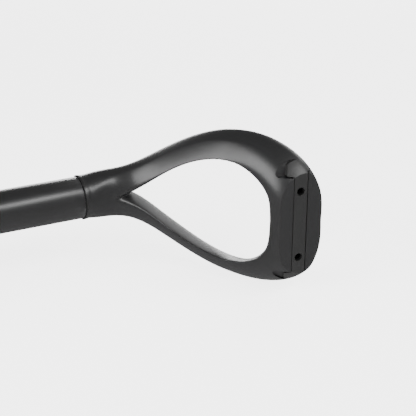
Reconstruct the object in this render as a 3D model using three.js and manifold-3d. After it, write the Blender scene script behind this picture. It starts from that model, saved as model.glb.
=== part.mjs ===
// Two-handle post hole digger, lying flat with its jaws closed and its handles spread.
// Millimetres. +X runs from the blades to the grips, +Y across the handles, +Z along the pivot axis.
// Each lever is drawn about the pivot with its shaft along +X, then turned by HALF_SPREAD.
import * as THREE from 'three';
import Module from 'manifold-3d';

// ---------- driving dimensions ----------
const HALF_SPREAD = 16.5;            // deg, each lever out from the handles-together position
const TUBE_R = 17.5, TUBE_WALL = 1.8; // steel handle tube
const TUBE_Y_LOW = 40;               // tube axis from the pivot plane, at the socket
const PAD_Y = -123.44;               // grip pad plane from the tube axis
const PAD_GAP = 0.5;                 // half the gap between the two pads when the handles meet
const TUBE_Y_TOP = -PAD_Y + PAD_GAP; // tube axis from the pivot plane, along the straight handle
const COLLAR_X = 1000;               // pivot to the grip's collar edge
const BEND_R = 150;                  // centreline radius of the two tube bends
const BEND_A = 24;                   // deg
const BEND_X = 105;                  // where the first bend starts
const SOCKET_R = 22, SOCKET_TOP = 78, SOCKET_FLOOR = -12;
const EAR_IN = 14.3, EAR_OUT = 20.3, EAR_R = 16;
const PIVOT_D = 10, BUSH_D = 14;
const GAP = 0.3;                     // running gap between touching pieces
const BLADE_T = 2.2, BLADE_HALF = 64, BLADE_TOP_X = -34, BLADE_TIP_X = -330;
const TONGUE_Y = [43, 49.6], TONGUE_X = [-104, -16], TONGUE_HALF = 20;
const BLADE_Y = TONGUE_Y[1] + GAP;   // inner face of the blade's flat
const BOLTS = [[-56, 11], [-56, -11], [-90, 0]];
const RING_X = [-1.5, -0.3];         // dark ring between tube and grip
const SPIGOT_R = TUBE_R - TUBE_WALL - GAP, SPIGOT_L = 60;
const STRIP_X = 138.13, STRIP_W = 11.6, STRIP_HALF = 46, STRIP_DEPTH = 7, KNOB_R = 8.6, KNOB_Z = 43.5;
const SCREW_Z = 28.42, SCREW_HOLE_R = 3.33, SCREW_SINK = 3.2;
const RIVET_X = -28;
const ORIGIN = [-388.76, 0, 64];      // bounding box's bottom centre to the pivot

// loop grip arm stations from the collar edge: x, y, z, half width, half thickness, section tilt (deg), plan angle (deg)
const ARM = [
  [0.00, 0.00, 0.00, 18.80, 18.80, 0.00, 0.00],
  [7.62, -0.14, 1.27, 17.57, 16.61, -9.14, -2.11],
  [15.23, -0.60, 3.21, 16.39, 14.60, -17.47, -5.11],
  [22.87, -1.55, 4.99, 15.30, 12.84, -24.44, -9.05],
  [30.34, -3.03, 6.95, 14.28, 11.36, -29.70, -13.67],
  [37.42, -5.09, 9.48, 13.34, 10.22, -32.67, -18.66],
  [44.10, -7.66, 12.76, 12.34, 9.21, -34.31, -23.65],
  [50.56, -10.84, 16.82, 11.34, 8.28, -35.40, -28.38],
  [57.06, -14.68, 21.53, 10.48, 7.53, -36.37, -32.92],
  [63.82, -19.46, 26.89, 9.95, 7.09, -37.61, -37.36],
  [70.89, -25.29, 32.61, 9.90, 7.00, -39.64, -41.68],
  [78.18, -32.30, 38.33, 10.47, 7.00, -43.74, -45.75],
  [85.59, -40.40, 43.65, 11.47, 7.00, -48.99, -49.41],
  [93.00, -49.58, 48.13, 12.70, 7.00, -54.17, -52.43],
  [100.33, -59.53, 51.45, 13.96, 7.00, -58.06, -54.93],
  [107.44, -70.09, 53.09, 15.04, 7.02, -59.30, -56.96],
  [114.25, -80.90, 52.81, 16.08, 7.43, -58.21, -58.63],
  [120.63, -91.67, 50.03, 17.17, 8.37, -55.50, -59.93],
  [126.39, -101.69, 44.91, 18.21, 9.59, -51.66, -60.02],
  [130.85, -109.26, 38.41, 19.10, 10.89, -46.98, -58.81],
  [133.98, -114.29, 31.28, 19.77, 12.05, -41.69, -57.21],
  [135.93, -117.24, 23.68, 20.33, 13.21, -33.47, -55.79],
  [137.04, -118.84, 15.81, 20.83, 14.44, -22.39, -54.83],
  [137.49, -119.48, 7.86, 21.21, 15.74, -9.01, -54.39],
  [137.60, -119.63, 0.00, 21.48, 17.09, 5.75, -54.28],
];
const ARM_SIDES = 22, ARM_POWER = 2.5;

// blade stations in the closed pose: x, spine y, half width, edge y, half width of the flat
const BLADE = [
  [-34, 0, 40, 40, 24], [-70, 0, 49, 33, 24], [-112, 0, 57, 22, 22], [-140, 0.6, 60.5, 14, 16], [-170, -0.6, 63, 8.6, 9],
  [-200, -3.6, 64, 5.0, 4], [-230, -9, 63.2, 3.4, 1], [-258, -17, 58, 2.6, 0], [-282, -26.5, 49, 2.1, 0], [-302, -36.5, 37, 1.8, 0],
  [-318, -45, 22, 1.7, 0], [-327, -49.6, 9, 1.7, 0], [-330, -50.4, 3, 1.7, 0],
];
const BLADE_ACROSS = 20;

// ---------- materials ----------
const mat = (color, roughness, metalness) => new THREE.MeshStandardMaterial({ color, roughness, metalness });
const M = {
  grip: () => mat(0x2b2b2c, 0.42, 0), strip: () => mat(0x303031, 0.6, 0), screw: () => mat(0x111112, 0.45, 1),
  tube: () => mat(0x343435, 0.38, 0.2), ring: () => mat(0x161616, 0.7, 0), steel: () => mat(0xa9abad, 0.35, 1),
  blade: () => mat(0x3a3c3e, 0.5, 0.6), cast: () => mat(0x2e2f31, 0.55, 0.4), bronze: () => mat(0x9a7436, 0.4, 1),
};

// ---------- solids ----------
const wasm = await Module(); wasm.setup();
const solid = (g) => {
  const c = g.clone(); c.deleteAttribute('normal'); c.deleteAttribute('uv');
  return new wasm.Manifold(weld(c));
};
function weld(g) {
  const p = g.attributes.position, key = new Map(), verts = [], map = new Uint32Array(p.count);
  for (let i = 0; i < p.count; i++) {
    const k = [p.getX(i), p.getY(i), p.getZ(i)].map((v) => Math.round(v * 1e5)).join();
    if (!key.has(k)) { key.set(k, verts.length / 3); verts.push(p.getX(i), p.getY(i), p.getZ(i)); }
    map[i] = key.get(k);
  }
  const src = g.index ? Array.from(g.index.array) : Array.from({ length: p.count }, (_, i) => i), tri = [];
  for (let i = 0; i < src.length; i += 3) {
    const [a, b, c] = [map[src[i]], map[src[i + 1]], map[src[i + 2]]];
    if (a !== b && b !== c && a !== c) tri.push(a, b, c);
  }
  return new wasm.Mesh({ numProp: 3, vertProperties: new Float32Array(verts), triVerts: new Uint32Array(tri) });
}
const geometry = (m) => {
  const mesh = m.getMesh(), g = new THREE.BufferGeometry();
  g.setAttribute('position', new THREE.BufferAttribute(new Float32Array(mesh.vertProperties), 3));
  g.setIndex(new THREE.BufferAttribute(new Uint32Array(mesh.triVerts), 1));
  g.computeVertexNormals();
  return g;
};
const node = (name, m, material) => {
  const mesh = new THREE.Mesh(m.isBufferGeometry ? m : geometry(m), material());
  mesh.name = name; return mesh;
};
const box = (x0, x1, y0, y1, z0, z1) => {
  const g = new THREE.BoxGeometry(x1 - x0, y1 - y0, z1 - z0);
  g.translate((x0 + x1) / 2, (y0 + y1) / 2, (z0 + z1) / 2); return solid(g);
};
// cylinder between a0 and a1 along an axis, through the two other coordinates
const cyl = (axis, r, a0, a1, u, v, n = 24) => {
  const g = new THREE.CylinderGeometry(r, r, a1 - a0, n);
  g.translate(0, (a0 + a1) / 2, 0);
  if (axis === 'x') { g.rotateZ(-Math.PI / 2); g.translate(0, u, v); }
  if (axis === 'y') g.translate(u, 0, v);
  if (axis === 'z') { g.rotateX(Math.PI / 2); g.translate(u, v, 0); }
  return solid(g);
};
// a turned piece: profile of [radius, height] pairs from the axis back to the axis, along an axis
const turned = (axis, profile, a, u, v, dir = 1, n = 20) => {
  const g = new THREE.LatheGeometry(profile.map(([r, h]) => new THREE.Vector2(r, h)), n);
  if (dir < 0) g.rotateX(Math.PI);
  g.translate(0, a, 0);
  if (axis === 'x') { g.rotateZ(-Math.PI / 2); g.translate(0, u, v); }
  if (axis === 'y') g.translate(u, 0, v);
  if (axis === 'z') { g.rotateX(Math.PI / 2); g.translate(u, v, 0); }
  return solid(g);
};
const join = (...a) => a.reduce((p, q) => p.add(q));
const cut = (a, ...b) => b.reduce((p, q) => p.subtract(q), a);

// closed skin over a row of rings with the same number of points
function loft(rings, capPairs = false) {
  const n = rings[0].length, pos = [], idx = [];
  rings.forEach((r) => r.forEach((p) => pos.push(p.x, p.y, p.z)));
  for (let i = 0; i + 1 < rings.length; i++) for (let j = 0; j < n; j++) {
    const a = i * n + j, b = i * n + (j + 1) % n, c = a + n, d = b + n;
    idx.push(a, b, d, a, d, c);
  }
  const last = (rings.length - 1) * n;
  if (capPairs) {
    for (let j = 0; j + 1 < n / 2; j++) {
      const k = n - 1 - j;
      idx.push(j, k, j + 1, j + 1, k, k - 1);
      idx.push(last + j, last + j + 1, last + k, last + j + 1, last + k - 1, last + k);
    }
  } else {
    for (const [base, flip] of [[0, true], [last, false]]) {
      const c = pos.length / 3, m = new THREE.Vector3();
      for (let j = 0; j < n; j++) m.add(new THREE.Vector3(pos[3 * (base + j)], pos[3 * (base + j) + 1], pos[3 * (base + j) + 2]));
      m.divideScalar(n); pos.push(m.x, m.y, m.z);
      for (let j = 0; j < n; j++) {
        const a = base + j, b = base + (j + 1) % n;
        if (flip) idx.push(c, b, a); else idx.push(c, a, b);
      }
    }
  }
  const g = new THREE.BufferGeometry();
  g.setAttribute('position', new THREE.Float32BufferAttribute(pos, 3)); g.setIndex(idx);
  let s = solid(g);
  if (s.volume() < 0) { const f = []; for (let i = 0; i < idx.length; i += 3) f.push(idx[i], idx[i + 2], idx[i + 1]); g.setIndex(f); s = solid(g); }
  return s;
}

// ---------- loop grip, in the handle's own frame (collar edge at the origin) ----------
const V = (x, y, z) => new THREE.Vector3(x, y, z);
const rad = THREE.MathUtils.degToRad;
function armRings() {
  const P = ARM.map((s) => V(s[0], s[1], s[2])), rings = [];
  const ring = (i, shift) => {
    const [, , , w, t, tilt, plan] = ARM[i];
    let T = i === 0 ? V(1, 0, 0) : i === ARM.length - 1 ? V(0, 0, -1) : P[i + 1].clone().sub(P[i - 1]).normalize();
    const n = V(-Math.sin(rad(plan)), Math.cos(rad(plan)), 0);
    const N = n.clone().cross(T).normalize();
    const out = [];
    for (let k = 0; k < ARM_SIDES; k++) {
      const a = k / ARM_SIDES * 2 * Math.PI, c = Math.cos(a), s = Math.sin(a);
      const p = i === 0 ? 2 : i < 4 ? 2 + (ARM_POWER - 2) * i / 4 : ARM_POWER;
      const u = w * Math.sign(c) * Math.abs(c) ** (2 / p), v = t * Math.sign(s) * Math.abs(s) ** (2 / p);
      const f = rad(tilt), u2 = u * Math.cos(f) - v * Math.sin(f), v2 = u * Math.sin(f) + v * Math.cos(f);
      out.push(P[i].clone().addScaledVector(N, u2).addScaledVector(n, v2).addScaledVector(T, shift));
    }
    return out;
  };
  for (let i = 0; i < ARM.length; i++) rings.push(ring(i, 0));
  rings.push(ring(ARM.length - 1, 1.5));
  return rings;
}
const mirrorZ = (rings) => rings.map((r) => r.map((p) => V(p.x, p.y, -p.z)));
const knob = (grow) => join(
  cyl('y', KNOB_R + grow, PAD_Y + 0.9 - (grow ? 3 : 0), PAD_Y + STRIP_DEPTH + 4 + grow, STRIP_X, KNOB_Z, 20),
  cyl('y', KNOB_R + grow, PAD_Y + 0.9 - (grow ? 3 : 0), PAD_Y + STRIP_DEPTH + 4 + grow, STRIP_X, -KNOB_Z, 20));
function gripBody() {
  const rings = armRings();
  let g = join(loft(rings), loft(mirrorZ(rings)));
  g = cut(g, box(60, 200, PAD_Y - 60, PAD_Y, -90, 90));
  // pads stop short of the knobs, so the strip's ends stand in shallow pockets
  g = cut(g, box(STRIP_X - STRIP_W / 2 - GAP, STRIP_X + STRIP_W / 2 + GAP, PAD_Y - 2, PAD_Y + STRIP_DEPTH, -STRIP_HALF, STRIP_HALF));
  g = cut(g, knob(GAP));
  for (const s of [1, -1]) {
    g = cut(g, box(STRIP_X - 18, STRIP_X, PAD_Y - 2, PAD_Y + 5.5, Math.min(s * 39.5, s * 46), Math.max(s * 39.5, s * 46)));
    g = cut(g, cyl('y', 2.2, PAD_Y, PAD_Y + 20, STRIP_X, s * SCREW_Z, 14));
  }
  const spigot = cyl('x', SPIGOT_R, -SPIGOT_L, 1, 0, 0, 28);
  g = join(g, spigot);
  return cut(g, cyl('y', 2.4, 5, TUBE_R, RIVET_X, 0, 14));
}
function gripStrip() {
  let s = box(STRIP_X - STRIP_W / 2, STRIP_X + STRIP_W / 2, PAD_Y + 0.3, PAD_Y + STRIP_DEPTH - GAP, -STRIP_HALF + GAP, STRIP_HALF - GAP);
  s = join(s, knob(0));
  for (const k of [1, -1]) {
    s = cut(s, cyl('y', SCREW_HOLE_R, PAD_Y - 2, PAD_Y + 0.3 + SCREW_SINK, STRIP_X, k * SCREW_Z, 18));
    s = cut(s, cyl('y', 2.2, PAD_Y, PAD_Y + 14, STRIP_X, k * SCREW_Z, 14));
  }
  return s;
}
const gripScrew = (k) => turned('y',
  [[0, 0], [1.9, 0], [1.9, 14], [3.03, 14], [3.03, 15.6], [1.4, 16], [1.4, 15], [0, 15]], PAD_Y + SCREW_SINK + 14, STRIP_X, k * SCREW_Z, -1, 14);

// ---------- tube: straight, two bends, straight ----------
function tubePath() {
  const a = rad(BEND_A), rise = TUBE_Y_TOP - TUBE_Y_LOW, out = [[1, TUBE_Y_LOW, 0]];
  const arc = 2 * BEND_R * (1 - Math.cos(a)), slope = (rise - arc) / Math.sin(a), n = 5;
  const x1 = BEND_X, y1 = TUBE_Y_LOW;
  for (let i = 0; i <= n; i++) { const t = a * i / n; out.push([x1 + BEND_R * Math.sin(t), y1 + BEND_R * (1 - Math.cos(t)), t]); }
  const [x2, y2] = out[out.length - 1], x3 = x2 + slope * Math.cos(a), y3 = y2 + slope * Math.sin(a);
  for (let i = 0; i <= n; i++) { const t = a * (1 - i / n); out.push([x3 + BEND_R * (Math.sin(a) - Math.sin(t)), y3 + BEND_R * (Math.cos(t) - Math.cos(a)), t]); }
  out.push([COLLAR_X + RING_X[0] - GAP, TUBE_Y_TOP, 0]);
  return out;
}
function tubeSolid(r, extend, n = 24) {
  const path = tubePath(), rings = path.map(([x, y, t], i) => {
    const e = extend * (i === 0 ? -1 : i === path.length - 1 ? 1 : 0), c = V(x + e * Math.cos(t), y + e * Math.sin(t), 0), ring = [];
    for (let k = 0; k < n; k++) { const b = k / n * 2 * Math.PI; ring.push(V(c.x - r * Math.cos(b) * Math.sin(t), c.y + r * Math.cos(b) * Math.cos(t), r * Math.sin(b))); }
    return ring;
  });
  return loft(rings);
}

// ---------- socket: sleeve, pivot ears and the tongue that carries the blade ----------
const toRest = (m) => m.rotate([0, 0, HALF_SPREAD]);
const BOLT_X = 46;
function socket(outer) {
  let s = toRest(cyl('x', SOCKET_R, SOCKET_FLOOR, SOCKET_TOP, TUBE_Y_LOW, 0, 28));
  const ear = (z0, z1) => join(cyl('z', EAR_R, z0, z1, 0, 0, 24), toRest(box(-15, 26, 2, TUBE_Y_LOW - 6, z0, z1)));
  s = join(s, box(TONGUE_X[0], TONGUE_X[1], TONGUE_Y[0], TONGUE_Y[1], -TONGUE_HALF, TONGUE_HALF));
  s = join(s, toRest(box(-24, 8, TUBE_Y_LOW - 8, TUBE_Y_LOW + 14, -TONGUE_HALF, TONGUE_HALF)));
  if (outer) s = join(s, ear(EAR_IN, EAR_OUT), ear(-EAR_OUT, -EAR_IN)); else s = join(s, ear(-EAR_IN + GAP, EAR_IN - GAP));
  s = cut(s, cyl('z', outer ? PIVOT_D / 2 + GAP : BUSH_D / 2 + GAP, -40, 40, 0, 0, 24));
  s = cut(s, toRest(cyl('x', TUBE_R + GAP, 0.4, SOCKET_TOP + 5, TUBE_Y_LOW, 0, 28)));
  // trim whatever would reach past the middle plane or into the blade
  s = cut(s, box(-130, -30, BLADE_Y - 0.05, 90, -60, 60));
  for (const [x, z] of BOLTS) s = cut(s, cyl('y', 4.3, 20, 80, x, z, 16));
  return cut(s, toRest(cyl('z', 4.3, -40, 40, BOLT_X, TUBE_Y_LOW, 16)));
}

// ---------- blade: a dished steel shell, drawn in the closed pose ----------
function bladeShell(flipY = 1) {
  const row = (x) => {
    let i = 0; while (i < BLADE.length - 2 && x < BLADE[i + 1][0]) i++;
    const a = BLADE[i], b = BLADE[i + 1], t = (x - a[0]) / (b[0] - a[0]);
    return a.map((v, k) => v + (b[k] - v) * t);
  };
  const pt = (s, v) => {
    const [x, sp, hw, ye, fl] = s, z = v * hw, ys = BLADE_Y + BLADE_T + sp, f = Math.max(0, (Math.abs(z) - fl) / Math.max(hw - fl, 1e-6));
    return V(x, ys - (ys - ye - BLADE_T * 0.9) * f ** 1.8, z);
  };
  const outer = [], inner = [];
  BLADE.forEach((s, i) => {
    const o = [], q = [];
    for (let j = 0; j <= BLADE_ACROSS; j++) {
      const v = -1 + 2 * j / BLADE_ACROSS, p = pt(s, v);
      const dv = pt(s, Math.min(1, v + 0.01)).sub(pt(s, Math.max(-1, v - 0.01)));
      const s0 = BLADE[Math.max(0, i - 1)], s1 = BLADE[Math.min(BLADE.length - 1, i + 1)];
      const ds = pt(s1, v).sub(pt(s0, v));
      const nrm = i < 3 ? V(0, 0, 1).multiplyScalar(dv.z).add(V(0, dv.y, 0)).cross(V(1, 0, 0)).normalize() : dv.clone().cross(ds).normalize();
      if (nrm.y < 0) nrm.negate();
      o.push(p); q.push(p.clone().addScaledVector(nrm, -BLADE_T));
    }
    q.forEach((p) => { if (p.y < 0.9) p.y = 0.9; });
    outer.push(o); inner.push(q);
  });
  const rings = outer.map((o, i) => [...o, ...inner[i].slice().reverse()]);
  return loft(rings, true);
}
function blade() {
  let b = bladeShell();
  for (const [x, z] of BOLTS) b = cut(b, cyl('y', 4.3, 20, 80, x, z, 16));
  return b;
}

// ---------- fasteners ----------
const hex = (axis, af, a0, a1, u, v) => cyl(axis, af / Math.sqrt(3), a0, a1, u, v, 6);
const bladeBolt = ([x, z]) => turned('y',
  [[0, -20.5], [4, -20.5], [4, 0], [9, 0], [8.2, 2], [5, 3.9], [0, 4.6]], BLADE_Y + BLADE_T + GAP, x, z, 1, 18);
const bladeNut = ([x, z]) => cut(hex('y', 13, TONGUE_Y[0] - GAP - 6.5, TONGUE_Y[0] - GAP, x, z), cyl('y', 4.3, 0, 60, x, z, 16));
const socketBolt = () => toRest(join(cyl('z', 4, -30, SOCKET_R + GAP, BOLT_X, TUBE_Y_LOW, 16), hex('z', 13, SOCKET_R + GAP, SOCKET_R + GAP + 5.5, BOLT_X, TUBE_Y_LOW)));
const socketNut = () => toRest(cut(hex('z', 13, -SOCKET_R - GAP - 6.5, -SOCKET_R - GAP, BOLT_X, TUBE_Y_LOW), cyl('z', 4.3, -40, 0, BOLT_X, TUBE_Y_LOW, 16)));
const collarRing = () => cut(cyl('x', 17.2, RING_X[0], RING_X[1], 0, 0, 28), cyl('x', SPIGOT_R + GAP, -5, 5, 0, 0, 28));
const gripRivet = () => turned('y', [[0, -9.5], [2.1, -9.5], [2.1, 0.4], [4.6, 0.4], [3.9, 1.5], [2.2, 2.1], [0, 2.3]], TUBE_R, RIVET_X, 0, 1, 16);

// ---------- assembly ----------
const root = new THREE.Group(), pivot = new THREE.Group();
pivot.position.set(...ORIGIN); root.add(pivot);
for (const [side, flip, outer] of [['left', 0, true], ['right', Math.PI, false]]) {
  const half = new THREE.Group(); half.rotation.x = flip; pivot.add(half);        // the right half is the left turned over
  BOLTS.forEach((b, i) => half.add(node(`${side}_blade_bolt_${i + 1}`, bladeBolt(b), M.steel), node(`${side}_blade_nut_${i + 1}`, bladeNut(b), M.steel)));
  half.add(node(`${side}_blade`, blade(), M.blade), node(`${side}_socket`, socket(outer), M.cast),
    node(`${side}_socket_bolt`, socketBolt(), M.steel), node(`${side}_socket_nut`, socketNut(), M.steel));
  const lever = new THREE.Group(); lever.rotation.z = rad(HALF_SPREAD); half.add(lever);
  const drill = join(cyl('z', 4.3, -40, 40, BOLT_X, TUBE_Y_LOW, 16), cyl('y', 2.4, TUBE_Y_TOP, TUBE_Y_TOP + 40, COLLAR_X + RIVET_X, 0, 14));
  lever.add(node(`${side}_tube`, cut(tubeSolid(TUBE_R, 0), tubeSolid(TUBE_R - TUBE_WALL, 1), drill), M.tube));
  const handle = new THREE.Group(); handle.position.set(COLLAR_X, TUBE_Y_TOP, 0); lever.add(handle);
  handle.add(node(`${side}_grip`, gripBody(), M.grip), node(`${side}_grip_strip`, gripStrip(), M.strip),
    node(`${side}_grip_screw_1`, gripScrew(1), M.screw), node(`${side}_grip_screw_2`, gripScrew(-1), M.screw), node(`${side}_collar_ring`, collarRing(), M.ring),
    node(`${side}_grip_rivet`, gripRivet(), M.tube));
}
const EAR_TOP = EAR_OUT + GAP;
pivot.add(
  node('pivot_bolt', join(cyl('z', PIVOT_D / 2, -30, EAR_TOP + 2.1, 0, 0, 20), hex('z', 17, EAR_TOP + 2.1, EAR_TOP + 8.5, 0, 0)), M.steel),
  node('pivot_washer_top', cut(cyl('z', 10.5, EAR_TOP, EAR_TOP + 1.8, 0, 0), cyl('z', PIVOT_D / 2 + GAP, 0, 40, 0, 0)), M.steel),
  node('pivot_washer_bottom', cut(cyl('z', 10.5, -EAR_TOP - 1.8, -EAR_TOP, 0, 0), cyl('z', PIVOT_D / 2 + GAP, -40, 0, 0, 0)), M.steel),
  node('pivot_nut', cut(hex('z', 17, -EAR_TOP - 10, -EAR_TOP - 2.1, 0, 0), cyl('z', PIVOT_D / 2 + GAP, -60, 0, 0, 0)), M.steel),
  node('pivot_bush', cut(cyl('z', BUSH_D / 2, -EAR_IN + GAP, EAR_IN - GAP, 0, 0), cyl('z', PIVOT_D / 2 + GAP, -60, 60, 0, 0)), M.bronze),
);
export default root;
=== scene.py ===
# Post hole digger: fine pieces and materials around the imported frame. Metres, same frame as the CAD.
import bpy, bmesh, math
import numpy as np
from mathutils import Matrix, Vector


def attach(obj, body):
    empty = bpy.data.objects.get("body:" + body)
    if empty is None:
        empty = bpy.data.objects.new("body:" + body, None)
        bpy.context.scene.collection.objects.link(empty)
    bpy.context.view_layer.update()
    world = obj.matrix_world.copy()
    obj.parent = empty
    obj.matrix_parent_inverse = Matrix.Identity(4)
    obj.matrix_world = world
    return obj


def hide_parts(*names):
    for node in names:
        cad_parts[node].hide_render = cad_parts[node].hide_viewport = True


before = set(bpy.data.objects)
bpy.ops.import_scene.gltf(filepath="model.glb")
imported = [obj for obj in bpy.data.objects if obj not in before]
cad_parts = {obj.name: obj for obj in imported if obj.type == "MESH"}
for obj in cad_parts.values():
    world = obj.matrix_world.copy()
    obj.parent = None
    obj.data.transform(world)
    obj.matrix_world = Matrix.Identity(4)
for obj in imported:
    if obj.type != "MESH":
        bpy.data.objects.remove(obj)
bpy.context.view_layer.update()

# ---------------------------------------------------------------- frames (millimetre drawings to the row's metres)
ORIGIN = Vector((-388.76, 0.0, 64.0))
SPREAD = math.radians(16.5)
TUBE_R, WALL = 17.5, 1.8
PAD_Y = -123.44
TUBE_Y_LOW, TUBE_Y_TOP, COLLAR_X = 40.0, 123.94, 1000.0
MM = Matrix.Scale(0.001, 4)
FLIP = {"left": Matrix.Identity(4), "right": Matrix.Rotation(math.pi, 4, "X")}


def half_m(side):
    return MM @ Matrix.Translation(ORIGIN) @ FLIP[side]


def lever_m(side):
    return half_m(side) @ Matrix.Rotation(SPREAD, 4, "Z")


def handle_m(side):
    return lever_m(side) @ Matrix.Translation((COLLAR_X, TUBE_Y_TOP, 0))


# ---------------------------------------------------------------- camera first
def camera():
    cam = bpy.data.cameras.new("camera")
    cam.sensor_width = 36.0
    cam.lens = 1072.0 / 416.0 * 36.0
    cam.clip_start, cam.clip_end = 0.01, 50
    o = bpy.data.objects.new("camera", cam)
    r, u, b = Vector((0.98852, -0.15107, 0.0)), Vector((0.06313, 0.41326, 0.90842)), Vector((-0.13722, -0.89797, 0.41811))
    m = Matrix((r, u, b)).transposed().to_4x4()
    m.translation = Vector((0.51717, -0.41311, 0.42666))
    o.matrix_world = m
    bpy.context.scene.collection.objects.link(o)
    bpy.context.scene.camera = o


camera()


# ---------------------------------------------------------------- mesh helpers
def to_object(name, verts, faces):
    me = bpy.data.meshes.new(name)
    me.from_pydata([tuple(v) for v in verts], [], [tuple(f) for f in faces])
    me.validate()
    o = bpy.data.objects.new(name, me)
    bpy.context.scene.collection.objects.link(o)
    bm = bmesh.new(); bm.from_mesh(me)
    bmesh.ops.recalc_face_normals(bm, faces=bm.faces)
    bm.to_mesh(me); bm.free()
    return o


def loft(name, rings, cap=True):
    n = len(rings[0]); verts = [p for r in rings for p in r]; faces = []
    for i in range(len(rings) - 1):
        for j in range(n):
            k = (j + 1) % n
            faces.append((i * n + j, i * n + k, (i + 1) * n + k, (i + 1) * n + j))
    if cap:
        faces.append(tuple(range(n - 1, -1, -1))); faces.append(tuple((len(rings) - 1) * n + j for j in range(n)))
    return to_object(name, verts, faces)


def lathe(name, profile, axis="z", seg=48, at=(0, 0, 0), flip=False):
    """profile: [(radius, height)], from the axis to the axis or closed on itself."""
    rings, verts, faces = [], [], []
    closed = profile[0][0] > 1e-6
    idx = []
    for r, h in profile:
        if r < 1e-6:
            idx.append([len(verts)] * seg); verts.append((0, 0, h))
        else:
            idx.append([len(verts) + k for k in range(seg)])
            verts += [(r * math.cos(2 * math.pi * k / seg), r * math.sin(2 * math.pi * k / seg), h) for k in range(seg)]
    m = len(profile)
    for i in range(m if closed else m - 1):
        a, b = idx[i], idx[(i + 1) % m]
        for k in range(seg):
            l = (k + 1) % seg
            f = []
            for v in (a[k], a[l], b[l], b[k]):
                if v not in f: f.append(v)
            if len(f) > 2: faces.append(f)
    o = to_object(name, verts, faces)
    R = {"z": Matrix.Identity(4), "y": Matrix.Rotation(-math.pi / 2, 4, "X"), "x": Matrix.Rotation(math.pi / 2, 4, "Y")}[axis]
    if flip: R = R @ Matrix.Rotation(math.pi, 4, "X")
    o.data.transform(Matrix.Translation(at) @ R)
    return o


def block(name, x0, x1, y0, y1, z0, z1):
    v = [(x, y, z) for x in (x0, x1) for y in (y0, y1) for z in (z0, z1)]
    return to_object(name, v, [(0, 1, 3, 2), (4, 6, 7, 5), (0, 4, 5, 1), (2, 3, 7, 6), (0, 2, 6, 4), (1, 5, 7, 3)])


def bake(o):
    """Applies every modifier on o to its mesh."""
    dg = bpy.context.evaluated_depsgraph_get(); dg.update()
    me = bpy.data.meshes.new_from_object(o.evaluated_get(dg), depsgraph=dg)
    old = o.data; o.modifiers.clear(); o.data = me
    bpy.data.meshes.remove(old)
    return o


def drop(*objs):
    for o in objs:
        me = o.data; bpy.data.objects.remove(o); bpy.data.meshes.remove(me)


def boolean(o, others, op="DIFFERENCE", solver="EXACT", self_hit=False):
    for c in others:
        m = o.modifiers.new("b", "BOOLEAN"); m.operation = op; m.object = c; m.solver = solver
        if solver == "EXACT": m.use_self = self_hit
    bake(o); drop(*others)
    return o


def merge(o, *others):
    """One mesh of several overlapping closed shells; the remesh after it makes them one skin."""
    bm = bmesh.new(); bm.from_mesh(o.data)
    for k in others: bm.from_mesh(k.data)
    bm.to_mesh(o.data); bm.free(); drop(*others)
    return o


def remesh(o, size, rounds=4, factor=0.5, group=None):
    m = o.modifiers.new("r", "REMESH"); m.mode = "VOXEL"; m.voxel_size = size; m.use_smooth_shade = True
    bake(o)
    if rounds: smooth(o, rounds, factor)
    return o


def neighbours(o):
    me = o.data; e = np.empty(len(me.edges) * 2, np.int32); me.edges.foreach_get("vertices", e); return e.reshape(-1, 2)


def coords(o):
    c = np.empty(len(o.data.vertices) * 3, np.float32); o.data.vertices.foreach_get("co", c); return c.reshape(-1, 3).astype(np.float64)


def set_coords(o, c):
    o.data.vertices.foreach_set("co", c.astype(np.float32).ravel()); o.data.update()


def smooth(o, rounds, factor=0.5, weight=None, taubin=True):
    """Evens the surface; taubin keeps its volume. weight is one number per vertex."""
    c, e = coords(o), neighbours(o)
    n = np.bincount(e.ravel(), minlength=len(c)).astype(float)[:, None]; n[n == 0] = 1
    w = 1.0 if weight is None else weight[:, None]
    for i in range(rounds):
        for f in ((factor, -factor * 1.03) if taubin else (factor,)):
            s = np.zeros_like(c)
            for k in range(3):
                s[:, k] = np.bincount(e[:, 0], c[e[:, 1], k], len(c)) + np.bincount(e[:, 1], c[e[:, 0], k], len(c))
            c += w * f * (s / n - c)
    set_coords(o, c)


def decimate(o, ratio):
    m = o.modifiers.new("d", "DECIMATE"); m.ratio = ratio; bake(o); return o


def shade(o, angle=None):
    me = o.data
    me.polygons.foreach_set("use_smooth", np.ones(len(me.polygons), bool))
    if angle is not None:
        bm = bmesh.new(); bm.from_mesh(me)
        for e in bm.edges:
            if len(e.link_faces) == 2 and e.calc_face_angle(0) > math.radians(angle): e.smooth = False
        bm.to_mesh(me); bm.free()
    me.update()
    return o


def bevel(o, width, segs=2, angle=35):
    m = o.modifiers.new("v", "BEVEL"); m.width = width; m.segments = segs; m.limit_method = "ANGLE"; m.angle_limit = math.radians(angle)
    m.harden_normals = False
    return bake(o)


def place(src, name, matrix, body, node, material, last=True):
    """A copy of a drawing, put in its place and riding on its body in place of its CAD node."""
    o = src if last else bpy.data.objects.new(name, src.data.copy())
    if not last: bpy.context.scene.collection.objects.link(o)
    o.name = name; o.data.name = name
    o.data.transform(matrix)
    o.data.materials.clear(); o.data.materials.append(material)
    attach(o, body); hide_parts(node)
    return o


def both(src, stem, matrix_of, node, material):
    place(src, "fine_left_" + stem, matrix_of("left"), "left_lever", "left_" + node, material, last=False)
    place(src, "fine_right_" + stem, matrix_of("right"), "right_lever", "right_" + node, material, last=True)


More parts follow.
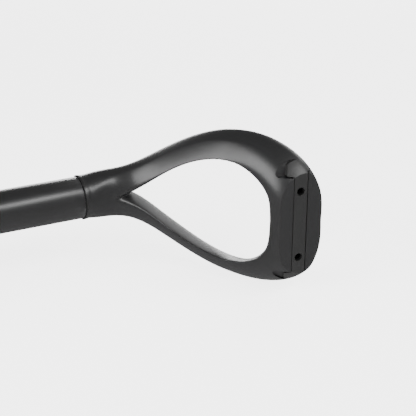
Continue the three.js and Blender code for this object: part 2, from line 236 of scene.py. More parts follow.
# ---------------------------------------------------------------- materials
def material(name, base, rough, metal=0.0, spec=0.5, coat=0.0):
    m = bpy.data.materials.new(name); m.use_nodes = True
    nt = m.node_tree; b = nt.nodes["Principled BSDF"]
    b.inputs["Base Color"].default_value = (*base, 1); b.inputs["Roughness"].default_value = rough
    b.inputs["Metallic"].default_value = metal; b.inputs["Specular IOR Level"].default_value = spec
    b.inputs["Coat Weight"].default_value = coat
    if coat: b.inputs["Coat Roughness"].default_value = 0.25
    return m, nt, b


def N(nt, kind, **kw):
    n = nt.nodes.new(kind)
    for k, v in kw.items():
        if k in n.inputs: n.inputs[k].default_value = v
        else: setattr(n, k, v)
    return n


def texco(nt, scale=(1, 1, 1), rot=(0, 0, 0)):
    t = N(nt, "ShaderNodeTexCoord"); mp = N(nt, "ShaderNodeMapping")
    mp.inputs["Scale"].default_value = scale; mp.inputs["Rotation"].default_value = rot
    nt.links.new(t.outputs["Object"], mp.inputs["Vector"]); return mp.outputs["Vector"]


def noise(nt, vec, scale, detail=4, rough=0.5, dist=0.0):
    n = N(nt, "ShaderNodeTexNoise"); n.inputs["Scale"].default_value = scale; n.inputs["Detail"].default_value = detail
    n.inputs["Roughness"].default_value = rough; n.inputs["Distortion"].default_value = dist
    nt.links.new(vec, n.inputs["Vector"]); return n.outputs["Fac"]


def ramp(nt, fac, stops):
    r = N(nt, "ShaderNodeValToRGB"); el = r.color_ramp.elements
    while len(el) > len(stops): el.remove(el[-1])
    while len(el) < len(stops): el.new(0.5)
    for e, (p, c) in zip(el, stops):
        e.position = p; e.color = (*c, 1) if isinstance(c, tuple) else (c, c, c, 1)
    nt.links.new(fac, r.inputs["Fac"]); return r.outputs["Color"]


def mixc(nt, fac, a, b, mode="MIX"):
    m = N(nt, "ShaderNodeMix", data_type="RGBA", blend_type=mode)
    for s, v in ((0, fac), (6, a), (7, b)):
        if hasattr(v, "is_linked") or isinstance(v, bpy.types.NodeSocket): nt.links.new(v, m.inputs[s])
        elif isinstance(v, tuple): m.inputs[s].default_value = (*v, 1)
        else: m.inputs[s].default_value = v
    return m.outputs[2]


def maths(nt, op, a, b=0.0, clamp=False):
    m = N(nt, "ShaderNodeMath", operation=op); m.use_clamp = clamp
    for i, v in enumerate((a, b)):
        if isinstance(v, bpy.types.NodeSocket): nt.links.new(v, m.inputs[i])
        else: m.inputs[i].default_value = v
    return m.outputs[0]


def bump(nt, b, height, strength, distance, prev=None):
    n = N(nt, "ShaderNodeBump"); n.inputs["Strength"].default_value = strength; n.inputs["Distance"].default_value = distance
    nt.links.new(height, n.inputs["Height"])
    if prev: nt.links.new(prev, n.inputs["Normal"])
    return n.outputs["Normal"]


def edge_mask(nt, low, high):
    g = N(nt, "ShaderNodeNewGeometry")
    return ramp(nt, g.outputs["Pointiness"], [(low, 0.0), (high, 1.0)])


def moulded_plastic():
    m, nt, b = material("moulded_plastic", (0.0115, 0.0115, 0.0118), 0.35, spec=0.5)
    v = texco(nt)
    big = noise(nt, v, 14, 3, 0.5); fine = noise(nt, v, 1500, 2, 0.6); mid = noise(nt, v, 260, 4, 0.55)
    col = ramp(nt, big, [(0.3, (0.0102, 0.0102, 0.0105)), (0.7, (0.0128, 0.0128, 0.0131))])
    nt.links.new(col, b.inputs["Base Color"])
    r = maths(nt, "ADD", maths(nt, "MULTIPLY", mid, 0.07), 0.285)
    r2 = maths(nt, "ADD", r, maths(nt, "MULTIPLY", big, 0.05))
    nt.links.new(r2, b.inputs["Roughness"])
    n1 = bump(nt, b, fine, 0.25, 0.00006); n2 = bump(nt, b, mid, 0.12, 0.00012, n1)
    nt.links.new(n2, b.inputs["Normal"])
    return m


def strip_rubber():
    m, nt, b = material("strip_rubber", (0.0115, 0.0115, 0.0115), 0.42, spec=0.48)
    v = texco(nt); mid = noise(nt, v, 420, 4, 0.6); fine = noise(nt, v, 2600, 2, 0.6); big = noise(nt, v, 30, 3)
    nt.links.new(ramp(nt, big, [(0.3, (0.0102, 0.0102, 0.0102)), (0.7, (0.0128, 0.0128, 0.0126))]), b.inputs["Base Color"])
    nt.links.new(maths(nt, "ADD", maths(nt, "MULTIPLY", mid, 0.12), 0.36), b.inputs["Roughness"])
    nt.links.new(bump(nt, b, mid, 0.15, 0.0001, bump(nt, b, fine, 0.3, 0.00005)), b.inputs["Normal"])
    return m


def satin_coat(name, base, rough, wear=True, metal_under=(0.32, 0.32, 0.33)):
    """Powder coat: fine orange peel, slow colour drift, light wear where edges are proud."""
    m, nt, b = material(name, base, rough, spec=0.5)
    v = texco(nt); peel = noise(nt, v, 620, 2, 0.5); big = noise(nt, v, 9, 4, 0.55); spot = noise(nt, v, 90, 6, 0.65)
    lo = tuple(c * 0.9 for c in base); hi = tuple(c * 1.12 for c in base)
    col = ramp(nt, big, [(0.3, lo), (0.7, hi)])
    r = maths(nt, "ADD", maths(nt, "MULTIPLY", spot, 0.08), rough - 0.05)
    if wear:
        e = edge_mask(nt, 0.535, 0.60)
        k = maths(nt, "MULTIPLY", e, ramp(nt, spot, [(0.45, 0.0), (0.62, 1.0)]))
        col = mixc(nt, k, col, metal_under)
        nt.links.new(k, b.inputs["Metallic"])
    nt.links.new(col, b.inputs["Base Color"]); nt.links.new(r, b.inputs["Roughness"])
    nt.links.new(bump(nt, b, peel, 0.18, 0.00008), b.inputs["Normal"])
    return m


def blade_steel():
    """Dark coated steel, scraped bright towards the ground edge and the tip."""
    m, nt, b = material("blade_steel", (0.05, 0.052, 0.055), 0.45)
    v = texco(nt); big = noise(nt, v, 16, 5, 0.6); spot = noise(nt, v, 120, 6, 0.7)
    scr = noise(nt, texco(nt, (22, 700, 420)), 1.0, 3, 0.6, 0.2)
    a = N(nt, "ShaderNodeVertexColor"); a.layer_name = "wear"
    w = N(nt, "ShaderNodeSeparateColor"); nt.links.new(a.outputs["Color"], w.inputs["Color"])
    k0 = maths(nt, "ADD", w.outputs[0], maths(nt, "MULTIPLY", maths(nt, "SUBTRACT", big, 0.5), 0.4))
    k1 = maths(nt, "ADD", k0, maths(nt, "MULTIPLY", maths(nt, "SUBTRACT", spot, 0.5), 0.35))
    k = ramp(nt, k1, [(0.36, 0.0), (0.86, 1.0)])
    bare = ramp(nt, scr, [(0.35, (0.24, 0.245, 0.25)), (0.65, (0.38, 0.38, 0.38))])
    coat = ramp(nt, big, [(0.3, (0.043, 0.045, 0.048)), (0.7, (0.06, 0.062, 0.064))])
    nt.links.new(mixc(nt, k, coat, bare), b.inputs["Base Color"]); nt.links.new(k, b.inputs["Metallic"])
    r = maths(nt, "ADD", maths(nt, "MULTIPLY", scr, 0.22), 0.26)
    nt.links.new(mixc(nt, k, (0.44, 0.44, 0.44), r), b.inputs["Roughness"])
    nt.links.new(bump(nt, b, scr, 0.2, 0.00012, bump(nt, b, spot, 0.1, 0.0002)), b.inputs["Normal"])
    return m


def cast_paint():
    m, nt, b = material("cast_paint", (0.036, 0.037, 0.039), 0.5)
    v = texco(nt); grain = noise(nt, v, 330, 5, 0.65); big = noise(nt, v, 20, 4)
    e = edge_mask(nt, 0.54, 0.62); spot = noise(nt, v, 110, 5, 0.65)
    k = maths(nt, "MULTIPLY", e, ramp(nt, spot, [(0.42, 0.0), (0.6, 1.0)]))
    col = mixc(nt, k, ramp(nt, big, [(0.3, (0.032, 0.033, 0.035)), (0.7, (0.044, 0.045, 0.047))]), (0.22, 0.22, 0.23))
    nt.links.new(col, b.inputs["Base Color"]); nt.links.new(k, b.inputs["Metallic"])
    nt.links.new(maths(nt, "ADD", maths(nt, "MULTIPLY", grain, 0.16), 0.4), b.inputs["Roughness"])
    nt.links.new(bump(nt, b, grain, 0.35, 0.00025), b.inputs["Normal"])
    return m


def zinc():
    m, nt, b = material("zinc_plate", (0.62, 0.63, 0.64), 0.3, metal=1.0)
    v = texco(nt); s = noise(nt, texco(nt, (1, 1, 1)), 240, 5, 0.6); big = noise(nt, v, 60, 3)
    nt.links.new(ramp(nt, big, [(0.3, (0.56, 0.57, 0.58)), (0.7, (0.68, 0.68, 0.67))]), b.inputs["Base Color"])
    nt.links.new(maths(nt, "ADD", maths(nt, "MULTIPLY", s, 0.2), 0.2), b.inputs["Roughness"])
    nt.links.new(bump(nt, b, s, 0.12, 0.00008), b.inputs["Normal"])
    return m


def black_oxide():
    m, nt, b = material("black_oxide", (0.008, 0.008, 0.0085), 0.5, metal=1.0)
    v = texco(nt); s = noise(nt, v, 700, 4)
    nt.links.new(ramp(nt, s, [(0.3, (0.006, 0.006, 0.0065)), (0.7, (0.011, 0.011, 0.0115))]), b.inputs["Base Color"])
    nt.links.new(maths(nt, "ADD", maths(nt, "MULTIPLY", s, 0.2), 0.32), b.inputs["Roughness"])
    nt.links.new(bump(nt, b, s, 0.2, 0.00005), b.inputs["Normal"])
    return m


def bronze():
    m, nt, b = material("bronze", (0.5, 0.36, 0.18), 0.35, metal=1.0)
    s = noise(nt, texco(nt, (1, 1, 30)), 60, 3)
    nt.links.new(ramp(nt, s, [(0.3, (0.44, 0.31, 0.15)), (0.7, (0.56, 0.4, 0.2))]), b.inputs["Base Color"])
    nt.links.new(maths(nt, "ADD", maths(nt, "MULTIPLY", s, 0.2), 0.25), b.inputs["Roughness"])
    nt.links.new(bump(nt, b, s, 0.2, 0.00005), b.inputs["Normal"])
    return m


def ring_rubber():
    m, nt, b = material("ring_rubber", (0.014, 0.014, 0.014), 0.7, spec=0.3)
    s = noise(nt, texco(nt), 900, 3)
    nt.links.new(ramp(nt, s, [(0.3, (0.012, 0.012, 0.012)), (0.7, (0.017, 0.017, 0.017))]), b.inputs["Base Color"])
    nt.links.new(maths(nt, "ADD", maths(nt, "MULTIPLY", s, 0.15), 0.66), b.inputs["Roughness"])
    nt.links.new(bump(nt, b, s, 0.2, 0.00005), b.inputs["Normal"])
    return m


PLASTIC, STRIP, TUBE = moulded_plastic(), strip_rubber(), satin_coat("tube_coat", (0.012, 0.012, 0.0123), 0.33)
BLADE_M, CAST, ZINC, OXIDE, BRONZE, RING = blade_steel(), cast_paint(), zinc(), black_oxide(), bronze(), ring_rubber()

# ---------------------------------------------------------------- loop grip
# one row a station: x, y, z of the middle, half width, half thickness, tilt and plan angle in degrees
ARM = np.array([
    [0.00, 0.00, 0.00, 18.80, 18.80, 0.00, 0.00], [7.53, -0.18, 1.63, 17.25, 17.05, -20.96, -2.82],
    [15.05, -0.77, 3.99, 15.85, 15.40, -39.97, -6.33], [22.67, -1.91, 5.88, 14.73, 13.90, -55.07, -10.59],
    [30.21, -3.63, 7.71, 14.00, 12.55, -64.87, -15.36], [37.46, -5.98, 9.94, 13.81, 11.37, -67.47, -20.38],
    [44.28, -8.83, 12.93, 13.82, 10.23, -67.19, -25.26], [50.75, -12.22, 16.83, 13.85, 9.14, -66.57, -29.70],
    [57.17, -16.19, 21.47, 13.89, 8.21, -65.72, -33.86], [63.80, -21.01, 26.77, 13.95, 7.55, -64.74, -37.86],
    [70.73, -26.77, 32.46, 14.01, 7.21, -63.68, -41.73], [77.89, -33.61, 38.14, 14.11, 6.97, -62.14, -45.37],
    [85.18, -41.43, 43.44, 14.26, 6.77, -60.22, -48.68], [92.50, -50.21, 47.91, 14.46, 6.63, -58.07, -51.44],
    [99.77, -59.72, 51.23, 14.70, 6.53, -55.86, -53.76], [106.89, -69.80, 52.88, 15.02, 6.53, -53.79, -55.66],
    [113.78, -80.19, 52.62, 15.70, 7.11, -52.03, -57.23], [120.32, -90.63, 49.88, 16.82, 8.43, -50.41, -58.50],
    [126.25, -100.48, 44.88, 18.08, 10.08, -48.58, -59.32], [130.78, -108.17, 38.54, 19.19, 11.72, -46.17, -59.64],
    [133.96, -113.60, 31.46, 19.95, 13.04, -42.75, -59.71], [135.93, -116.97, 23.83, 20.54, 14.21, -36.04, -59.69],
    [137.04, -118.88, 15.90, 21.06, 15.35, -26.34, -59.66], [137.50, -119.66, 7.88, 21.48, 16.45, -14.32, -59.65],
    [137.61, -119.84, 0.00, 21.77, 17.51, -1.01, -59.64]])
STRIP_X, STRIP_W = 138.13, 11.7
CHANNEL_W = 12.8
SCREW_Z = 28.42


def catmull(A, t):
    """Catmull-Rom through rows of A at t in [0, len-1]; ends continued straight."""
    P = np.vstack([2 * A[0] - A[1], A, 2 * A[-1] - A[-2]])
    i = np.clip(t.astype(int), 0, len(A) - 2); f = (t - i)[:, None]
    a, b, c, d = P[i], P[i + 1], P[i + 2], P[i + 3]
    return 0.5 * (2 * b + (c - a) * f + (2 * a - 5 * b + 4 * c - d) * f ** 2 + (3 * b - a - 3 * c + d) * f ** 3)


def arm_rings(m=190, n=112):
    """Rings of one arm: an oval at the neck and the pad, and along the arm a lens with a ridge on its inner front edge."""
    A = catmull(ARM, np.linspace(0, len(ARM) - 1, m)); C = A[:, :3]
    T = np.gradient(C, axis=0); T[0] = (1, 0, 0); T[-1] = (0, 0, -1); T /= np.linalg.norm(T, axis=1)[:, None]
    pl = np.radians(A[:, 6]); B = np.stack([-np.sin(pl), np.cos(pl), 0 * pl], 1)
    Nn = np.cross(B, T); Nn /= np.linalg.norm(Nn, axis=1)[:, None]
    a = np.linspace(0, 2 * np.pi, n, endpoint=False); c, s = np.cos(a), np.sin(a)
    fr = np.linspace(0, 1, m)
    ridge = np.interp(fr, [0, .05, .10, .17, .26, .62, .85, 1], [2, 1.97, 1.78, 1.40, 1.2, 1.2, 2.1, 2.3]); back = np.interp(fr, [0, .15, 1], [2, 2.3, 2.4])
    rings = []
    for i in range(m):
        pk = np.where(c >= 0, min(2.0, ridge[i]), back[i]); pn = np.where(c >= 0, ridge[i], back[i])
        u = A[i, 3] * np.sign(c) * np.abs(c) ** (2 / pk); v = A[i, 4] * np.sign(s) * np.abs(s) ** (2 / pn)
        f = math.radians(A[i, 5]); u2, v2 = u * math.cos(f) - v * math.sin(f), u * math.sin(f) + v * math.cos(f)
        q = C[i] + u2[:, None] * Nn[i] + v2[:, None] * B[i]
        q[:, 2] *= 0.9965
        rings.append(q)
    rings.append(rings[-1] + np.array([0, 0, -2.0]))
    rings.insert(0, rings[0] + np.array([-0.001, 0, 0]))
    return rings


def grip():
    r = arm_rings()
    up = loft("grip", r); dn = loft("grip_low", [q * np.array([1, 1, -1]) for q in r])
    spig = lathe("s", [(0, -60), (14.4, -60), (15.4, -58.5), (15.4, 2), (0, 2)], "x", 96)
    g = merge(up, dn, spig)
    remesh(g, 0.6, 2)
    # the valley in front of the place where the arms part is moulded soft
    c = coords(g)
    w = np.clip((26 - c[:, 0]) / 8, 0, 1) * np.clip((c[:, 0] - 4) / 6, 0, 1) * np.clip(1 - np.abs(c[:, 2]) / 12, 0, 1)
    smooth(g, 40, 0.6, w, taubin=False)
    # and so is the neck on both sides of it
    w = np.clip((62 - c[:, 0]) / 22, 0, 1) * np.clip((c[:, 0] - 3) / 8, 0, 1)
    smooth(g, 24, 0.5, w, taubin=False)
    smooth(g, 3, 0.5)
    decimate(g, 0.4)
    return g


def prism(name, outline, floor_at, y0, sign):
    """A plug with the outline (x, z), from y0 back to the sloping floor; sign turns it to the other end."""
    n = len(outline)
    v = [(x, y0, sign * z) for x, z in outline] + [(x, floor_at(x, z), sign * z) for x, z in outline]
    f = [tuple(range(n)), tuple(range(n, 2 * n))] + [(i, (i + 1) % n, n + (i + 1) % n, n + i) for i in range(n)]
    return to_object(name, v, f)


def ledge(x, z):
    """The sloping floor of the recess that takes each end of the strip."""
    return -112.2 - 0.30 * (x - 120.4) + 0.5 * (z - 42.6)


RECESS = [(144.53, 40.3), (121.4, 40.3), (120.3, 41.3), (120.3, 42.8), (121.6, 45.0), (123.2, 46.8), (125.1, 48.4), (128.2, 50.2),
          (131.8, 51.5), (135.5, 52.0), (139.0, 52.1), (144.0, 51.6), (147.9, 49.0), (147.9, 43.2), (144.53, 43.2)]
HEAD = [(143.98, 41.0), (132.3, 41.0), (127.6, 41.5), (128.6, 44.2), (129.6, 47.0), (130.6, 49.3), (133.0, 50.6), (136.0, 51.4),
        (139.2, 51.6), (143.8, 51.1), (147.4, 48.7), (147.4, 43.75), (143.98, 43.75)]


def pad_plane(name="c"):
    return block(name, 60, 220, PAD_Y - 80, PAD_Y, -100, 100)


def make_grip_and_strip():
    g = grip()
    whole = bpy.data.objects.new("whole", g.data.copy()); bpy.context.scene.collection.objects.link(whole)
    h = CHANNEL_W / 2; x0, x1 = STRIP_X - h, STRIP_X + h
    cut = block("cut", x0, x1, PAD_Y - 30, PAD_Y + 6.9, -41.5, 41.5)
    more = [pad_plane()]
    for s in (1, -1):
        more.append(prism("c", RECESS, ledge, PAD_Y - 31, s))
        more.append(lathe("c", [(0, -1), (2.2, -1), (2.2, 24), (0, 24)], "y", 32, (STRIP_X, PAD_Y, s * SCREW_Z)))
    boolean(cut, more, "UNION")
    boolean(g, [cut])
    shade(g, 32)
    both(g, "grip", handle_m, "grip", PLASTIC)
    # the strip: a flat bar in the channel, whose ends widen and follow the loop's outside
    w = STRIP_W / 2
    s = block("strip", STRIP_X - w, STRIP_X + w, PAD_Y - 30, PAD_Y + 6.6, -43, 43)
    heads = []
    for k in (1, -1):
        heads.append(prism("h", HEAD, lambda x, z: ledge(x, z) - 0.15, PAD_Y - 31, k))
    boolean(s, heads, "UNION")
    boolean(s, [whole], "INTERSECT")
    boolean(s, [block("c", 60, 220, PAD_Y - 80, PAD_Y + 0.06, -100, 100)])
    cuts = []
    for k in (1, -1):
        cuts.append(lathe("c", [(0, -3), (3.33, -3), (3.33, 5.2), (0, 5.2)], "y", 56, (STRIP_X, PAD_Y, k * SCREW_Z)))
        cuts.append(lathe("c", [(0, 0), (2.3, 0), (2.3, 14), (0, 14)], "y", 32, (STRIP_X, PAD_Y, k * SCREW_Z)))
    c0 = cuts[0]; boolean(c0, cuts[1:], "UNION"); boolean(s, [c0])
    remesh(s, 0.22, 3)
    decimate(s, 0.25)
    shade(s, 40)
    both(s, "grip_strip", handle_m, "grip_strip", STRIP)


def make_grip_screws():
    for i, k in ((1, 1), (2, -1)):
        prof = [(0, 0), (1.2, 0)]
        for j in range(10): prof += [(1.55, 0.6 + j), (1.9, 1.0 + j)]
        prof += [(1.9, 12), (2.7, 12), (3.0, 12.2), (3.0, 13.2), (2.6, 13.75), (1.6, 13.9), (1.45, 13.8), (1.3, 12.6), (0, 12.6)]
        o = lathe("screw", prof, "y", 40, (STRIP_X, PAD_Y + 17.2, k * SCREW_Z), flip=True)
        shade(o, 35)
        both(o, "grip_screw_%d" % i, handle_m, "grip_screw_%d" % i, OXIDE)


# ---------------------------------------------------------------- tube
def tube_path():
    a, R = math.radians(24), 150.0
    rise = TUBE_Y_TOP - TUBE_Y_LOW; slope = (rise - 2 * R * (1 - math.cos(a))) / math.sin(a)
    pts = [(1.0, TUBE_Y_LOW, 0.0)] + [(x, TUBE_Y_LOW, 0.0) for x in (30, 60, 90)]
    n = 20
    for i in range(n + 1):
        t = a * i / n; pts.append((105 + R * math.sin(t), TUBE_Y_LOW + R * (1 - math.cos(t)), t))
    x2, y2, _ = pts[-1]; x3, y3 = x2 + slope * math.cos(a), y2 + slope * math.sin(a)
    for i in range(n + 1):
        t = a * (1 - i / n); pts.append((x3 + R * (math.sin(a) - math.sin(t)), y3 + R * (math.cos(t) - math.cos(a)), t))
    xe = pts[-1][0]
    for k in range(1, 9): pts.append((xe + (999.05 - xe) * k / 8, TUBE_Y_TOP, 0.0))
    return pts


def make_tube():
    path = tube_path(); n = 72; r1, r0 = TUBE_R, TUBE_R - WALL

    def ring(x, y, t, r):
        b = np.linspace(0, 2 * np.pi, n, endpoint=False)
        return np.stack([x - r * np.cos(b) * math.sin(t), y + r * np.cos(b) * math.cos(t), r * np.sin(b)], 1)
    L = len(path); xs = path[0][0]; xe = path[-1][0]
    rows = [(xs, path[0][1], 0, r0), (xs, path[0][1], 0, r1 - 0.5), (xs + 0.5, path[0][1], 0, r1)]
    rows += [(x, y, t, r1) for x, y, t in path[1:-1]]
    rows += [(xe - 0.6, path[-1][1], 0, r1), (xe - 0.15, path[-1][1], 0, r1 - 0.2), (xe, path[-1][1], 0, r1 - 0.6), (xe, path[-1][1], 0, r0)]
    rows += [(x, y, t, r0) for x, y, t in path[-2:0:-1]]
    rings = [ring(*r) for r in rows]
    verts = [p for r in rings for p in r]; faces = []; m = len(rings)
    for i in range(m):
        for j in range(n):
            k = (j + 1) % n; a = (i + 1) % m
            faces.append((i * n + j, i * n + k, a * n + k, a * n + j))
    o = to_object("tube", verts, faces)
    boolean(o, [lathe("c", [(0, -40), (4.3, -40), (4.3, 40), (0, 40)], "z", 32, (46, TUBE_Y_LOW, 0)),
                lathe("c", [(0, 0), (2.4, 0), (2.4, 40), (0, 40)], "y", 32, (COLLAR_X - 28, TUBE_Y_TOP, 0))])
    shade(o, 30)
    both(o, "tube", lever_m, "tube", TUBE)


def make_ring_and_rivet():
    o = lathe("ring", [(15.75, -0.85), (17.0, -0.85), (17.25, -0.7), (17.25, -0.3), (17.0, -0.15), (15.75, -0.15)], "x", 96)
    shade(o, 30); both(o, "collar_ring", handle_m, "collar_ring", RING)
    o = lathe("rivet", [(0, -9.5), (1.9, -9.5), (2.1, -9.2), (2.1, 0.4), (4.4, 0.4), (4.6, 0.6), (4.35, 1.2), (3.6, 1.75), (2.4, 2.15), (1.1, 2.28), (0, 2.3)], "y", 40, (-28, TUBE_R, 0))
    shade(o, 35); both(o, "grip_rivet", handle_m, "grip_rivet", TUBE)


# ---------------------------------------------------------------- blades
BLADE = np.array([
    [-34, 0, 40, 40, 24], [-70, 0, 49, 33, 24], [-112, 0, 57, 22, 22], [-140, 0.6, 60.5, 14, 16], [-170, -0.6, 63, 8.6, 9],
    [-200, -3.6, 64, 5.0, 4], [-230, -9, 63.2, 3.4, 1], [-258, -17, 58, 2.6, 0], [-282, -26.5, 49, 2.1, 0], [-302, -36.5, 37, 1.8, 0],
    [-318, -45, 22, 1.7, 0], [-327, -49.6, 9, 1.7, 0], [-330, -50.4, 3, 1.7, 0]], float)
BLADE_Y, BLADE_T = 49.9, 2.2
BOLTS = [(-56, 11), (-56, -11), (-90, 0)]


def make_blade():
    na, ns = 84, 150
    # stations even along the blade, finer at the tip
    t = np.linspace(0, 1, ns) ** 0.9 * (len(BLADE) - 1)
    i = np.clip(t.astype(int), 0, len(BLADE) - 2); f = (t - i)[:, None]
    S = BLADE[i] + (BLADE[i + 1] - BLADE[i]) * f
    # eased, but held inside the polyline's own box
    for k in range(5):
        q = S[:, k].copy()
        for _ in range(12): q[1:-1] = q[1:-1] * 0.5 + (q[:-2] + q[2:]) * 0.25
        if k: S[:, k] = q
    v = np.linspace(-1, 1, na)
    x = np.repeat(S[:, :1], na, 1); z = S[:, 2:3] * v[None]
    fl = S[:, 4:5]; ff = np.clip((np.abs(z) - fl) / np.maximum(S[:, 2:3] - fl, 1e-6), 0, None)
    ys = BLADE_Y + BLADE_T + S[:, 1:2]
    y = ys - (ys - S[:, 3:4] - BLADE_T * 0.9) * ff ** 1.8
    O = np.stack([x, y, z], -1)
    du = np.gradient(O, axis=0); dv = np.gradient(O, axis=1)
    nr = np.cross(dv, du); nr /= np.linalg.norm(nr, axis=-1)[..., None] + 1e-12
    nr[nr[..., 1] < 0] *= -1
    # ground bevel: the skin thins towards its edge
    edge = np.minimum((1 - np.abs(v))[None] * S[:, 2:3], (x - S[-1, 0]) * 0.8 + 0.4)
    th = BLADE_T * np.clip(0.22 + edge / 6.5, 0.22, 1.0)
    I = O - nr * th[..., None]
    I[..., 1] = np.maximum(I[..., 1], 0.9)
    verts = np.vstack([O.reshape(-1, 3), I.reshape(-1, 3)]); K = ns * na; faces = []
    for a in range(ns - 1):
        for b in range(na - 1):
            p = a * na + b
            faces.append((p, p + 1, p + na + 1, p + na)); faces.append((K + p, K + p + na, K + p + na + 1, K + p + 1))
    for a in range(ns - 1):
        for b in (0, na - 1):
            p = a * na + b; faces.append((p, p + na, K + p + na, K + p))
    for a in (0, ns - 1):
        for b in range(na - 1):
            p = a * na + b; faces.append((p, K + p, K + p + 1, p + 1))
    o = to_object("blade", verts, faces)
    boolean(o, [lathe("c", [(0, 20), (4.3, 20), (4.3, 80), (0, 80)], "y", 40, (bx, 0, bz)) for bx, bz in BOLTS])
    shade(o, 32)
    c = coords(o)
    sx = np.clip((-c[:, 0] - 150) / 180, 0, 1)
    hw = np.interp(-c[:, 0], -S[:, 0], S[:, 2])
    ed = np.clip(1 - (hw - np.abs(c[:, 2])) / 10, 0, 1)
    wear = np.clip(sx ** 1.6 * 0.75 + ed * (0.35 + 0.6 * sx), 0, 1)
    at = o.data.color_attributes.new("wear", "FLOAT_COLOR", "POINT")
    at.data.foreach_set("color", np.stack([wear, wear, wear, np.ones_like(wear)], 1).astype(np.float32).ravel())
    both(o, "blade", half_m, "blade", BLADE_M)


# ---------------------------------------------------------------- cast sockets: the CAD shape with a casting's soft edges
def make_sockets():
    for side in ("left", "right"):
        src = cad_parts[side + "_socket"]
        o = bpy.data.objects.new("fine_%s_socket" % side, src.data.copy())
        bpy.context.scene.collection.objects.link(o)
        M = half_m(side)
        o.data.transform(M.inverted())
        remesh(o, 0.7, 4); decimate(o, 0.4); shade(o)
        place(o, "fine_%s_socket" % side, M, side + "_lever", side + "_socket", CAST)


# ---------------------------------------------------------------- fasteners
def hexagon(name, af, h0, h1, axis, at, hole=0.0, top=True, bottom=True, seg=60):
    """A hexagon with the turned chamfer that a real head or nut has."""
    R = af / math.sqrt(3); ch = 0.12 * af
    ang = np.linspace(0, 2 * np.pi, seg, endpoint=False)
    rr = (af / 2) / np.cos((ang + math.pi / 6) % (math.pi / 3) - math.pi / 6)
    flat = af / 2 * 0.97

    def ring(r, h):
        r = np.broadcast_to(r, ang.shape); return np.stack([r * np.cos(ang), r * np.sin(ang), np.broadcast_to(h, ang.shape)], 1)
    cone = lambda r: np.maximum(r - flat, 0) * 0.5
    rings = []
    if hole: rings.append(ring(hole, h0 + 0.3)); rings.append(ring(hole + 0.4, h0))
    if bottom: rings += [ring(flat, h0), ring(rr, h0 + cone(rr))]
    else: rings += [ring(rr, h0)]
    if top: rings += [ring(rr, h1 - cone(rr)), ring(flat, h1)]
    else: rings += [ring(rr, h1)]
    if hole: rings.append(ring(hole + 0.4, h1)); rings.append(ring(hole, h1 - 0.3))
    n = seg; verts = [p for r in rings for p in r]; faces = []; m = len(rings)
    for i in range(m if hole else m - 1):
        for j in range(n):
            k = (j + 1) % n; a = (i + 1) % m
            faces.append((i * n + j, i * n + k, a * n + k, a * n + j))
    if not hole: faces.append(tuple(range(n))); faces.append(tuple((m - 1) * n + j for j in range(n)))
    o = to_object(name, verts, faces)
    Rm = {"z": Matrix.Identity(4), "y": Matrix.Rotation(-math.pi / 2, 4, "X")}[axis]
    o.data.transform(Matrix.Translation(at) @ Rm)
    return o


def thread(r, h0, h1, pitch=1.25):
    prof = []; h = h0
    while h < h1 - pitch:
        prof += [(r - 0.12 * pitch - 0.35, h), (r, h + pitch * 0.45), (r, h + pitch * 0.55)]; h += pitch
    return prof


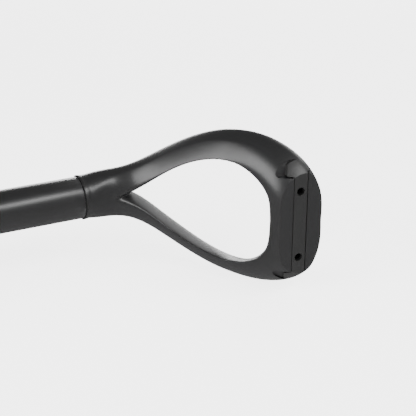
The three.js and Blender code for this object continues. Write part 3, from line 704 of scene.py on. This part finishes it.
def make_fasteners():
    rest = Matrix.Rotation(SPREAD, 4, "Z")
    y0 = BLADE_Y + BLADE_T + 0.3
    for i, (x, z) in enumerate(BOLTS):
        prof = [(0, -20.5), (3.2, -20.5)] + thread(4.0, -19.9, -9) + [(4.0, -9), (4.0, 0), (8.7, 0), (9.0, 0.35), (8.75, 1.2), (7.9, 2.4), (6.3, 3.5), (4.2, 4.25), (2.1, 4.55), (0, 4.6)]
        o = lathe("bolt", prof, "y", 48, (x, y0, z)); shade(o, 35)
        both(o, "blade_bolt_%d" % (i + 1), half_m, "blade_bolt_%d" % (i + 1), ZINC)
        o = hexagon("nut", 13, 36.2, 42.7, "y", (x, 0, z), hole=4.3); shade(o, 28)
        both(o, "blade_nut_%d" % (i + 1), half_m, "blade_nut_%d" % (i + 1), ZINC)
    prof = [(0, -30), (3.2, -30)] + thread(4.0, -29.4, -20) + [(4.0, -20), (4.0, 22.35), (0, 22.35)]
    o = lathe("bolt", prof, "z", 40, (46, TUBE_Y_LOW, 0))
    h = hexagon("head", 13, 22.3, 27.8, "z", (46, TUBE_Y_LOW, 0), bottom=False)
    boolean(o, [h], "UNION"); shade(o, 28)
    both(o, "socket_bolt", lever_m, "socket_bolt", ZINC)
    o = hexagon("nut", 13, -28.8, -22.3, "z", (46, TUBE_Y_LOW, 0), hole=4.3); shade(o, 28)
    both(o, "socket_nut", lever_m, "socket_nut", ZINC)
    M = half_m("left")
    prof = [(0, -30), (4.2, -30)] + thread(5.0, -29.3, -18, 1.5) + [(5.0, -18), (5.0, 22.75), (0, 22.75)]
    o = lathe("bolt", prof, "z", 48)
    boolean(o, [hexagon("head", 17, 22.7, 29.1, "z", (0, 0, 0), bottom=False)], "UNION"); shade(o, 28)
    place(o, "fine_pivot_bolt", M, "left_lever", "pivot_bolt", ZINC)
    o = hexagon("nut", 17, -30.6, -22.7, "z", (0, 0, 0), hole=5.3); shade(o, 28)
    place(o, "fine_pivot_nut", M, "left_lever", "pivot_nut", ZINC)
    for nm, z in (("pivot_washer_top", 20.6), ("pivot_washer_bottom", -22.4)):
        o = lathe("w", [(5.3, z + 0.15), (5.45, z), (10.2, z), (10.5, z + 0.3), (10.5, z + 1.5), (10.2, z + 1.8), (5.45, z + 1.8), (5.3, z + 1.65)], "z", 64)
        shade(o, 35); place(o, "fine_" + nm, M, "left_lever", nm, ZINC)
    o = lathe("b", [(5.3, -13.7), (5.6, -14.0), (6.7, -14.0), (7.0, -13.7), (7.0, 13.7), (6.7, 14.0), (5.6, 14.0), (5.3, 13.7)], "z", 64)
    shade(o, 35); place(o, "fine_pivot_bush", M, "left_lever", "pivot_bush", BRONZE)


make_grip_and_strip(); make_grip_screws(); make_tube(); make_ring_and_rivet()
make_blade(); make_sockets(); make_fasteners()


# ---------------------------------------------------------------- stage and light
def stage():
    f = to_object("floor", [(-8, -8, 0), (8, -8, 0), (8, 8, 0), (-8, 8, 0)], [(0, 1, 2, 3)])
    m, nt, b = material("floor", (0.92, 0.92, 0.92), 0.9, spec=0.1)
    b.inputs["Emission Color"].default_value = (1, 1, 1, 1); b.inputs["Emission Strength"].default_value = 3.4
    f.data.materials.append(m)
    f.visible_glossy = False
    w = bpy.data.worlds.new("studio"); bpy.context.scene.world = w; w.use_nodes = True
    w.node_tree.nodes["Background"].inputs["Color"].default_value = (1, 1, 1, 1)
    w.node_tree.nodes["Background"].inputs["Strength"].default_value = 0.24

    at = Vector((0.62, 0.34, 0.06))

    def panel(name, way, far, size, size_y, radiance, turn=0.0):
        """A soft panel that faces the grip from the direction way."""
        l = bpy.data.lights.new(name, "AREA"); l.shape = "RECTANGLE"; l.size, l.size_y = size, size_y
        l.energy = radiance * math.pi * size * size_y
        o = bpy.data.objects.new(name, l); bpy.context.scene.collection.objects.link(o)
        d = Vector(way).normalized(); o.location = at + d * far
        o.rotation_euler = ((-d).to_track_quat("-Z", "Y").to_matrix() @ Matrix.Rotation(turn, 3, "Z")).to_euler()
    panel("key", (0.47, -0.44, 0.76), 1.5, 1.3, 0.36, 13.0)
    panel("side", (-0.82, -0.40, 0.42), 1.5, 1.0, 1.0, 8.6)
    panel("back", (0.06, 1.0, 0.06), 1.6, 1.9, 0.34, 9.0)
    panel("right", (0.64, 0.60, 0.46), 1.6, 1.1, 0.8, 2.5)


stage()
